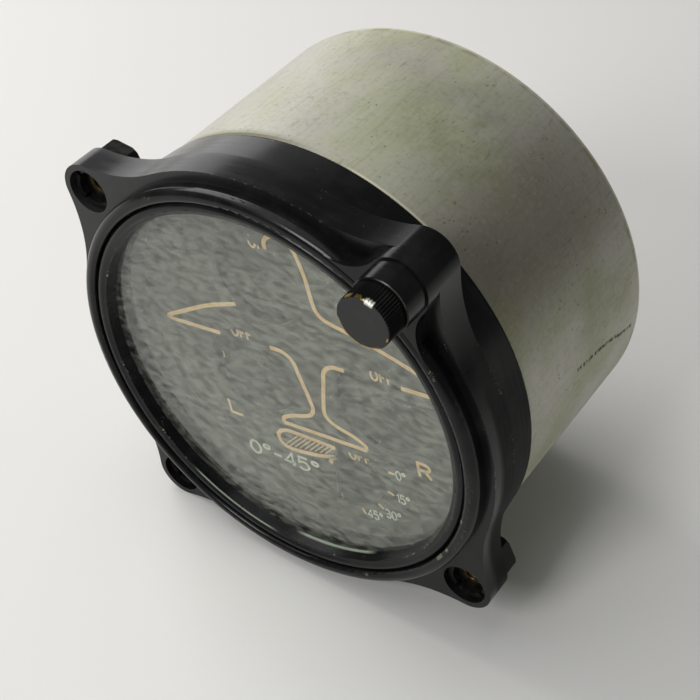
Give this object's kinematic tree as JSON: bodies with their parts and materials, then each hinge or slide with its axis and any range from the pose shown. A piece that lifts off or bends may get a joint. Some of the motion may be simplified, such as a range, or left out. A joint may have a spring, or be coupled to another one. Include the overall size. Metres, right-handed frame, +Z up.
{
  "type": "wheel and flap position indicator",
  "caption": "Round panel instrument with a square four-lug front, showing wheel and flap positions on flags and a pointer behind a dial, with a dimmable corner light.",
  "frame": {"origin": "on the axis of the dial, in the plane of the lug fronts that lies against the back of the panel", "axes": "-Y is the way the face looks, +Z is up on the dial and +X is right as seen from the front"},
  "size_m": [0.0822, 0.0726, 0.0822],
  "materials": {
    "black_enamel": "satin black enamel, worn bright on edges",
    "can_finish": "grey-green plated finish, stained and scratched",
    "glass": "clear cover glass",
    "rubber": "black rubber",
    "dial_black": "matt black instrument paint",
    "black_nylon": "moulded black",
    "brass": "plain brass",
    "steel": "plated steel",
    "aluminium": "machined",
    "motor_plating": "grey plating",
    "copper_wire": "enamelled copper wire",
    "magnet": "sintered magnet",
    "connector_plating": "olive drab plating",
    "insulator": "brown moulded insulator"
  },
  "bodies": {
    "instrument": {"bezel_casting": "black_enamel", "glass_retaining_ring": "black_enamel", "cover_glass": "glass", "glass_gasket": "rubber", "dial_spacer_ring": "black_enamel", "dial_plate": "dial_black", "dial_support_ring": "aluminium", "can": "can_finish", "can_gasket": "rubber", "mounting_nuts": "black_nylon", "nut_inserts": "brass", "movement_plate": "aluminium", "movement_plate_screws": "steel", "case_pillars": "aluminium", "case_screws": "steel", "motor_screws": "steel", "left_motor_housing": "motor_plating", "left_motor_winding": "copper_wire", "right_motor_housing": "motor_plating", "right_motor_winding": "copper_wire", "nose_motor_housing": "motor_plating", "nose_motor_winding": "copper_wire", "flap_motor_housing": "motor_plating", "flap_motor_winding": "copper_wire", "connector_shell": "connector_plating", "connector_insert": "insulator", "connector_pins": "brass", "connector_screws": "steel", "lamp_collar": "black_enamel", "lamp_glass": "glass", "lamp_base": "brass", "lamp_socket": "insulator", "lamp_contact": "brass"},
    "dimmer": {"dimmer_knob": "black_enamel", "dimmer_sleeve": "brass"},
    "left_wheel_rotor": {"left_wheel_flag": "dial_black", "left_motor_shaft": "steel", "left_motor_magnet": "magnet"},
    "right_wheel_rotor": {"right_wheel_flag": "dial_black", "right_motor_shaft": "steel", "right_motor_magnet": "magnet"},
    "nose_wheel_rotor": {"nose_wheel_flag": "dial_black", "nose_motor_shaft": "steel", "nose_motor_magnet": "magnet"},
    "flap_rotor": {"flap_pointer": "dial_black", "flap_motor_shaft": "steel", "flap_motor_magnet": "magnet"}
  },
  "joints": [
    {"name": "dimmer_turn", "type": "hinge", "parent": "instrument", "child": "dimmer", "pos_m": [0.03143, -0.0093, 0.03143], "axis": [0, 1, 0], "range_deg": [0, 90]},
    {"name": "left_wheel_turn", "type": "hinge", "parent": "instrument", "child": "left_wheel_rotor", "pos_m": [-0.0134, 0.0121, -0.0066], "axis": [0, 1, 0], "range_deg": [0, 90], "stiffness_Nm_per_rad": 0.0001},
    {"name": "right_wheel_turn", "type": "hinge", "parent": "instrument", "child": "right_wheel_rotor", "pos_m": [0.0134, 0.0121, -0.0066], "axis": [0, 1, 0], "range_deg": [0, 90], "stiffness_Nm_per_rad": 0.0001},
    {"name": "nose_wheel_turn", "type": "hinge", "parent": "instrument", "child": "nose_wheel_rotor", "pos_m": [-0.0076, 0.0121, 0.0142], "axis": [0, 1, 0], "range_deg": [0, 90], "stiffness_Nm_per_rad": 0.0001},
    {"name": "flap_pointer_turn", "type": "hinge", "parent": "instrument", "child": "flap_rotor", "pos_m": [0, 0.0111, -0.0203], "axis": [0, -1, 0], "range_deg": [0, 97], "stiffness_Nm_per_rad": 0.0001}
  ]
}
